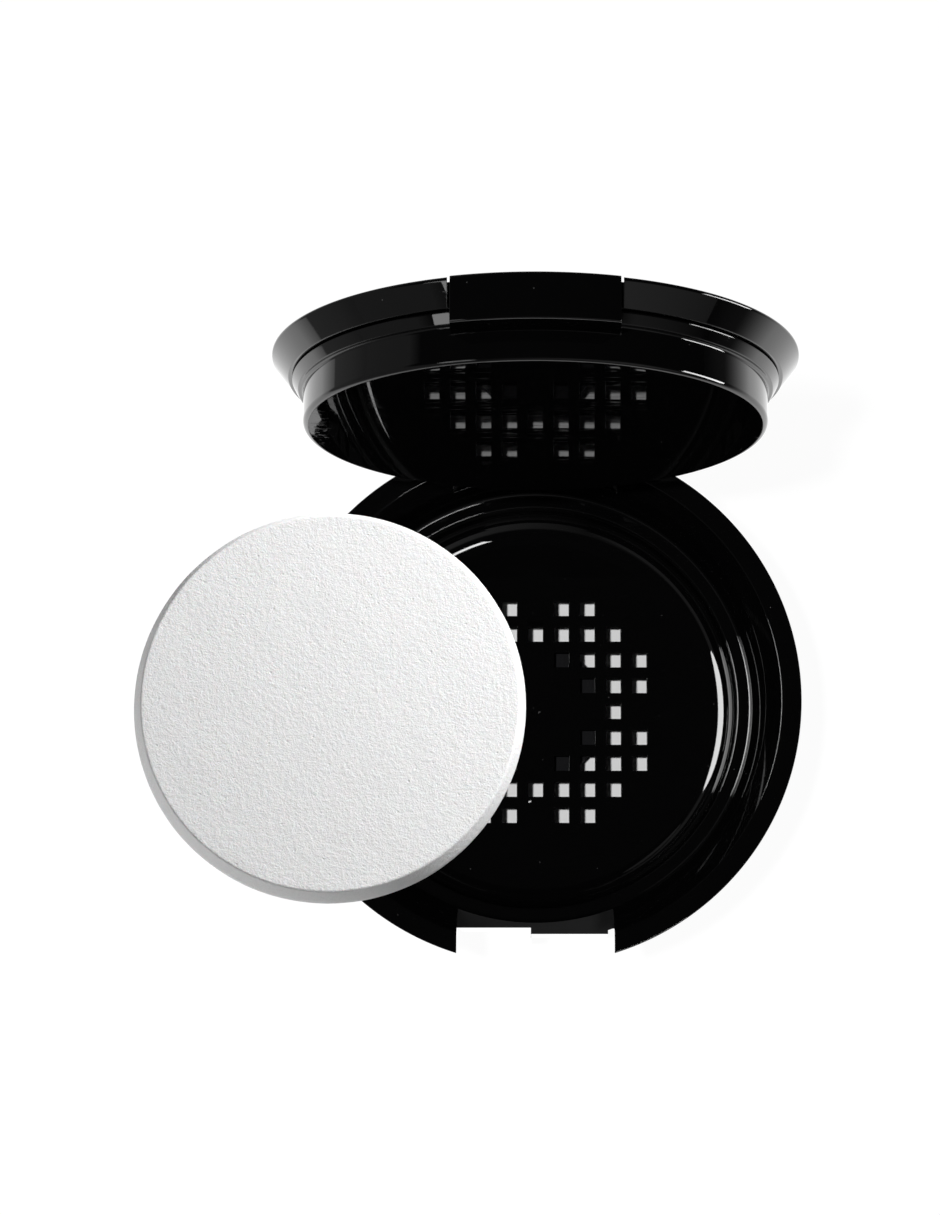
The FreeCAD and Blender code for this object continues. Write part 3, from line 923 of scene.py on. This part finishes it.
    def cut_floor(self, piece, shape):
        level = shape.floor_height
        tools = [vent_tools(shape)]
        reach = MARK_STEPS * shape.vent_pitch
        for x, y in ((reach, 0.0), (-reach, 0.0), (0.0, reach), (0.0, -reach)):
            foot = shape.mark_radius - MARK_FLARE * MARK_DEPTH
            tools.append(post(foot, x, y, level - MARK_DEPTH, level + PAST, flare=MARK_FLARE))
        tools.append(post(GATE_RADIUS, 0.0, 0.0, level - GATE_DEPTH, level + PAST, 32))
        far = 2.0 * shape.rim_radius
        tools.append(rod(shape.pin + PIN_HELD, -far, far, shape.hinge_y, shape.hinge_z))
        combined(piece, tools, "DIFFERENCE")


class COMPACT_OT_tray(bpy.types.Operator):
    """Make the powder tray: bowl with flange, thumb tab and hinge knuckles"""

    bl_idname = "compact.tray"
    bl_label = "Powder tray"

    def execute(self, context):
        shape = context.scene.compact_shape
        edge = context.scene.compact_finish.edge
        far = 2.0 * shape.rim_radius
        bore = shape.bowl_radius - shape.bowl_wall
        seat = shape.bowl_bottom + shape.bowl_floor
        under = shape.tray_top - shape.flange_thickness
        outline = rounded([
            (0.0, seat),
            (bore, seat, SEAT_ROUND),
            (bore, shape.tray_top, edge),
            (shape.flange_radius, shape.tray_top, edge),
            (shape.flange_radius - shape.flange_taper, under, FLANGE_ROUND),
            (shape.bowl_radius, under, FLANGE_FILLET),
            (shape.bowl_radius, shape.bowl_bottom, BOWL_ROUND),
            (0.0, shape.bowl_bottom),
        ])
        rim = outline[-2]
        outline = outline[:-1] + crowned(rim.x, rim.y, shape.bowl_bottom + shape.bowl_sink, 24)
        piece = turned("tray_bowl", outline, shape.around)
        tab_back = shape.tab_radius - shape.tab_thickness
        tab_bottom = shape.lid_top - shape.tab_height
        root = shape.bowl_radius - shape.bowl_wall / 2
        tab = turned("tab", rounded([
            (root, tab_bottom),
            (shape.tab_radius, tab_bottom, TAB_ROUNDS[0]),
            (shape.tab_radius, shape.lid_top, TAB_ROUNDS[1]),
            (tab_back, shape.lid_top, edge),
            (tab_back, shape.tray_top - STEP_OFF),
            (root, shape.tray_top - STEP_OFF),
        ]), shape.around, closed=True)
        span = block(-shape.tab_half, shape.tab_half, -far, -0.5 * shape.bowl_radius, -far, far)
        combined(tab, [span], "INTERSECT")
        combined(piece, [tab], "UNION")
        for x0, x1 in TRAY_KNUCKLES:
            low = shape.hinge_z - TANGENT * shape.barrel
            arm = block(x0, x1, root, shape.hinge_y, low, shape.tray_top - STEP_OFF)
            knuckle = rod(shape.barrel, x0 + KNUCKLE_IN, x1 - KNUCKLE_IN, shape.hinge_y, shape.hinge_z)
            combined(arm, [knuckle], "UNION")
            combined(piece, [arm], "UNION")
        bored = rod(shape.pin + PIN_FREE, -far, far, shape.hinge_y, shape.hinge_z)
        combined(piece, [bored], "DIFFERENCE")
        smoothed(tipped_up(piece, shape))
        coat(piece, bpy.data.materials["gloss_black_plastic"])
        dress(piece, "powder_tray", "tray")
        return {"FINISHED"}


class COMPACT_OT_lid(bpy.types.Operator):
    """Make the lid: domed plate, flared skirt and hinge knuckle"""

    bl_idname = "compact.lid"
    bl_label = "Lid"

    def execute(self, context):
        shape = context.scene.compact_shape
        edge = context.scene.compact_finish.edge
        far = 2.0 * shape.rim_radius
        ceiling = shape.lid_top - LID_PLATE
        bore = shape.lid_foot_radius - LID_SKIRT
        outline = rounded([
            (0.0, ceiling),
            (bore, ceiling),
            (bore, shape.lid_foot, edge),
            (shape.lid_foot_radius, shape.lid_foot, edge),
            (shape.lid_top_radius, shape.lid_top, LID_ROUND),
            (0.0, shape.lid_top),
        ])
        rim = outline[-2]
        outline = outline[:-1] + crowned(rim.x, rim.y, shape.lid_top + shape.lid_dome, 20)
        piece = turned("lid_shell", outline, shape.around)
        notch_half = shape.tab_half + TAB_SIDE_GAP
        notch = block(-notch_half, notch_half, -far, -0.5 * bore, shape.lid_foot - PAST, far)
        core_radius = shape.tab_radius - shape.tab_thickness - TAB_BACK_GAP
        core = post(core_radius, 0.0, 0.0, 0.0, 2.0 * far, shape.around)
        combined(notch, [core], "DIFFERENCE")
        rear = shape.hinge_y - shape.barrel - HINGE_ROOM
        pocket = block(-LID_POCKET, LID_POCKET, rear, far, 0.0, far)
        combined(piece, [notch, pocket], "DIFFERENCE")
        half = LID_KNUCKLE_HALF
        arm = block(-half, half, bore, shape.hinge_y, shape.hinge_z, shape.hinge_z + shape.barrel)
        knuckle = rod(shape.barrel, -half, half, shape.hinge_y, shape.hinge_z)
        combined(piece, [arm, knuckle], "UNION")
        bored = rod(shape.pin + PIN_FREE, -far, far, shape.hinge_y, shape.hinge_z)
        combined(piece, [bored], "DIFFERENCE")
        smoothed(tipped_up(piece, shape))
        coat(piece, bpy.data.materials["gloss_black_plastic"])
        dress(piece, "lid_cover", "lid")
        return {"FINISHED"}


class COMPACT_OT_fittings(bpy.types.Operator):
    """Finish the pin, pan, powder, mirror, tape and label"""

    bl_idname = "compact.fittings"
    bl_label = "Fittings"

    def execute(self, context):
        finish = context.scene.compact_finish
        paint("hinge_pin", drawn_metal("steel_pin", (0.56, 0.56, 0.57), 0.28, (0.0, 0.0, 0.0)))
        paint("powder_pan", drawn_metal("pressed_tinplate", (0.78, 0.78, 0.79), 0.34, (0.0, 0.3, 0.0)))
        self.press_powder(context.scene.compact_shape, powder_cake(finish))
        paint("mirror", silvered_glass())
        paint("mirror_tape", fibre_sheet("mirror_tape_felt", (0.62, 0.61, 0.58), 0.9))
        paint("pan_adhesive", fibre_sheet("pan_glue_film", (0.66, 0.6, 0.45), 0.6))
        paint("base_label", fibre_sheet("blank_label_paper", finish.label, 0.55))
        return {"FINISHED"}

    def press_powder(self, shape, material):
        outline = rounded([
            (0.0, shape.powder_bottom),
            (shape.powder_radius, shape.powder_bottom, SEAT_ROUND),
            (shape.powder_radius, shape.powder_edge, POWDER_ROUND),
            (0.0, shape.powder_edge),
        ])
        rim = outline[-2]
        outline = outline[:-1] + crowned(rim.x, rim.y, shape.powder_edge + shape.powder_crown, 24)
        cake = turned("powder_cake", outline, shape.around)
        smoothed(tipped_up(cake, shape))
        coat(cake, material)
        dress(cake, "pressed_powder", "tray")


class COMPACT_OT_sponge(bpy.types.Operator):
    """Make the foam sponge with rolled edges"""

    bl_idname = "compact.sponge"
    bl_label = "Sponge"

    def execute(self, context):
        soft = context.scene.compact_sponge
        low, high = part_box("sponge")
        centre = (low + high) / 2
        radius = (high.x - low.x) / 2 - 0.5 * soft.waver
        rise = high.z - low.z - 0.5 * soft.waver
        shoulder = rise - soft.crown
        flat = radius - soft.bulge
        corners = [
            (0.0, 0.0),
            (flat, 0.0, soft.edge),
            (radius + SIDE_PROUD, shoulder / 2, SIDE_ROUND),
            (flat, shoulder, soft.edge),
            (0.0, shoulder),
        ]
        outline = rounded(corners)
        rim = outline[-2]
        middle = [Vector((rim.x * step / FOAM_RINGS, 0.0)) for step in range(FOAM_RINGS)]
        outline = middle + outline[1:-1] + crowned(rim.x, rim.y, rise, FOAM_RINGS)
        piece = turned("foam_sponge", outline, soft.around)
        work = bmesh.new()
        work.from_mesh(piece.data)
        work.normal_update()
        for vert in work.verts:
            if vert.co.z > FOAM_FLAT:
                drift = noise.noise(vert.co * WAVER_WIDE) + 0.6 * noise.noise(vert.co * WAVER_FINE)
                vert.co += vert.normal * drift * soft.waver * 0.3
        for vert in work.verts:
            vert.co.x += soft.lean[0] * (vert.co.z - shoulder / 2)
            vert.co.y += soft.lean[1] * (vert.co.z - shoulder / 2)
        work.to_mesh(piece.data)
        work.free()
        piece.data.transform(Matrix.Translation((centre.x, centre.y, low.z)))
        piece.data.shade_smooth()
        coat(piece, foam_rubber(soft))
        piece.visible_glossy = False
        dress(piece, "sponge", "sponge")
        return {"FINISHED"}


class COMPACT_OT_stage(bpy.types.Operator):
    """Set the floor, the lamps, the world and the camera"""

    bl_idname = "compact.stage"
    bl_label = "Stage"

    def execute(self, context):
        stage = context.scene.compact_stage
        self.lay_floor(context, stage)
        self.light_world(context)
        met = self.groups()
        for lamp in LAMPS:
            linking = self.hang(context, lamp).light_linking
            linking.receiver_collection = met[lamp.meets]
            linking.blocker_collection = met["sponge" if lamp.meets == "sponge" else "case"]
        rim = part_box("base_shell")[1].z
        ahead = Vector((0.0, math.sin(stage.pitch), -math.cos(stage.pitch)))
        upward = Vector((0.0, math.cos(stage.pitch), math.sin(stage.pitch)))
        data = bpy.data.cameras.new("camera")
        data.lens = stage.lens
        data.sensor_width = 36.0
        data.shift_x = stage.slide
        data.clip_start = 0.01
        data.clip_end = 20.0
        camera = bpy.data.objects.new("camera", data)
        camera.location = Vector((0.0, 0.0, rim)) + upward * stage.drop - ahead * stage.distance
        camera.rotation_euler = (stage.pitch, 0.0, 0.0)
        context.scene.collection.objects.link(camera)
        context.scene.camera = camera
        context.scene.view_settings.view_transform = "Standard"
        return {"FINISHED"}

    def lay_floor(self, context, stage):
        """A pale floor that keeps the shadow; reflections see a painted glow on it, strongest round the
        part.
        """
        mesh = bpy.data.meshes.new("floor")
        reach = FLOOR_REACH
        corners = [(-reach, -reach, 0.0), (reach, -reach, 0.0), (reach, reach, 0.0), (-reach, reach, 0.0)]
        mesh.from_pydata(corners, [], [(0, 1, 2, 3)])
        material = bpy.data.materials.new("pale_floor")
        material.use_nodes = True
        tree = material.node_tree
        tree.nodes.clear()
        out = put(tree, "ShaderNodeOutputMaterial", 700)
        matt = feed(tree, put(tree, "ShaderNodeBsdfDiffuse"), Color=rgba(stage.floor))
        path = put(tree, "ShaderNodeLightPath").outputs
        seen = larger(tree, path["Is Camera Ray"], path["Is Glossy Ray"])
        seen = larger(tree, seen, path["Is Transmission Ray"])
        place = put(tree, "ShaderNodeTexCoord").outputs["Object"]
        away = measure(tree, place)
        across = split(tree, place)["X"]
        # Painted glow seen only in reflections: strongest near the part and right of a left edge, faint
        # further left
        near = spread(tree, away, GLOW_NEAR, GLOW_FAR, 1.0, 0.0)
        near_glow = times(tree, maths(tree, "POWER", near, 4.0), GLOW_PEAK)
        glow_side = spread(tree, across, GLOW_LEFT - GLOW_EDGE, GLOW_LEFT)
        beyond = spread(tree, across, -0.15, 0.05, 0.18, 0.02)
        mirrored = larger(tree, times(tree, near_glow, glow_side), beyond)
        direct = times(tree, path["Is Camera Ray"], FLOOR_WHITE)
        rest = maths(tree, "SUBTRACT", 1.0, path["Is Camera Ray"])
        strength = maths(tree, "MULTIPLY_ADD", mirrored, rest, direct)
        glow = feed(tree, put(tree, "ShaderNodeEmission"), Color=(1.0, 1.0, 1.0, 1.0), Strength=strength)
        outside = maths(tree, "GREATER_THAN", away, UNDER_VENTS)
        lit = times(tree, times(tree, seen, outside), GLOW_SHARE)
        both = feed(tree, put(tree, "ShaderNodeMixShader"), Fac=lit)
        tree.links.new(matt.outputs[0], both.inputs[1])
        tree.links.new(glow.outputs[0], both.inputs[2])
        tree.links.new(both.outputs[0], out.inputs[0])
        mesh.materials.append(material)
        floor = bpy.data.objects.new("floor", mesh)
        context.scene.collection.objects.link(floor)

    def light_world(self, context):
        """A dark studio with two grey walls, and white behind the part and in its mirror."""
        world = bpy.data.worlds.new("studio")
        context.scene.world = world
        world.use_nodes = True
        tree = world.node_tree
        tree.nodes.clear()
        out = put(tree, "ShaderNodeOutputWorld", 700)
        sky = put(tree, "ShaderNodeBackground", 400)
        way = split(tree, put(tree, "ShaderNodeTexCoord", -900).outputs["Generated"])
        path = put(tree, "ShaderNodeLightPath").outputs
        left_wall = times(
            tree,
            spread(tree, way["X"], -0.5, -0.15, LEFT_WALL, 0.0),
            spread(tree, way["Z"], 0.4, 0.5, 1.0, 0.0),
        )
        front_wall = times(
            tree,
            spread(tree, way["Y"], -0.75, -0.45, 1.0, 0.0),
            spread(tree, way["Z"], 0.5, 0.62, 1.0, 0.0),
        )
        front_wall = times(tree, front_wall, spread(tree, way["X"], -0.3, 0.5, *FRONT_WALL))
        dome = larger(tree, larger(tree, left_wall, front_wall), DARK_DOME)
        white = larger(tree, path["Is Camera Ray"], path["Is Transmission Ray"])
        mirrored = times(tree, path["Is Glossy Ray"], path["Is Singular Ray"])
        strength = larger(tree, dome, larger(tree, white, mirrored))
        feed(tree, sky, Color=(1.0, 1.0, 1.0, 1.0), Strength=strength)
        tree.links.new(sky.outputs[0], out.inputs[0])

    def hang(self, context, lamp):
        """Makes an area lamp, turned to its aim and hidden from the camera."""
        data = bpy.data.lights.new(lamp.name, "AREA")
        data.shape = lamp.outline
        data.size = lamp.width
        data.size_y = lamp.height
        data.energy = lamp.power
        made = bpy.data.objects.new(lamp.name, data)
        made.location = lamp.place
        made.rotation_euler = (Vector(lamp.aim) - Vector(lamp.place)).to_track_quat("-Z", "Y").to_euler()
        made.visible_camera = False
        made.visible_diffuse = lamp.matt
        made.visible_glossy = lamp.gloss
        context.scene.collection.objects.link(made)
        return made

    def groups(self):
        """What each lamp may light: the base, the upper pieces, the sponge, or all but the sponge."""
        met = {name: bpy.data.collections.new("lit_" + name) for name in ("base", "upper", "sponge", "case")}
        for piece in bpy.data.objects:
            if piece.type != "MESH":
                continue
            met["sponge" if piece.name == "foam_sponge" else "case"].objects.link(piece)
            if piece.name == "base_dish":
                met["base"].objects.link(piece)
            if piece.name in ("tray_bowl", "lid_shell"):
                met["upper"].objects.link(piece)
        return met


class COMPACT_PT_sidebar(bpy.types.Panel):
    """Steps, sizes and colours of the powder compact"""

    bl_label = "Powder compact"
    bl_idname = "COMPACT_PT_sidebar"
    bl_space_type = "VIEW_3D"
    bl_region_type = "UI"
    bl_category = "Compact"

    def draw(self, context):
        layout = self.layout
        for step in STEPS:
            layout.operator(step.bl_idname)
        scene = context.scene
        for group in (scene.compact_shape, scene.compact_finish, scene.compact_sponge, scene.compact_stage):
            box = layout.box()
            for name in group.__annotations__:
                box.prop(group, name)


STEPS = (
    COMPACT_OT_base,
    COMPACT_OT_tray,
    COMPACT_OT_lid,
    COMPACT_OT_fittings,
    COMPACT_OT_sponge,
    COMPACT_OT_stage,
)
CLASSES = (CompactShape, CompactFinish, CompactSponge, CompactStage) + STEPS + (COMPACT_PT_sidebar,)


def register():
    for item in CLASSES:
        bpy.utils.register_class(item)
    bpy.types.Scene.compact_shape = PointerProperty(type=CompactShape)
    bpy.types.Scene.compact_finish = PointerProperty(type=CompactFinish)
    bpy.types.Scene.compact_sponge = PointerProperty(type=CompactSponge)
    bpy.types.Scene.compact_stage = PointerProperty(type=CompactStage)


def unregister():
    del bpy.types.Scene.compact_stage
    del bpy.types.Scene.compact_sponge
    del bpy.types.Scene.compact_finish
    del bpy.types.Scene.compact_shape
    for item in reversed(CLASSES):
        bpy.utils.unregister_class(item)


def main():
    register()
    bpy.ops.compact.base()
    bpy.ops.compact.tray()
    bpy.ops.compact.lid()
    bpy.ops.compact.fittings()
    bpy.ops.compact.sponge()
    bpy.ops.compact.stage()


if __name__ == "__main__":
    main()
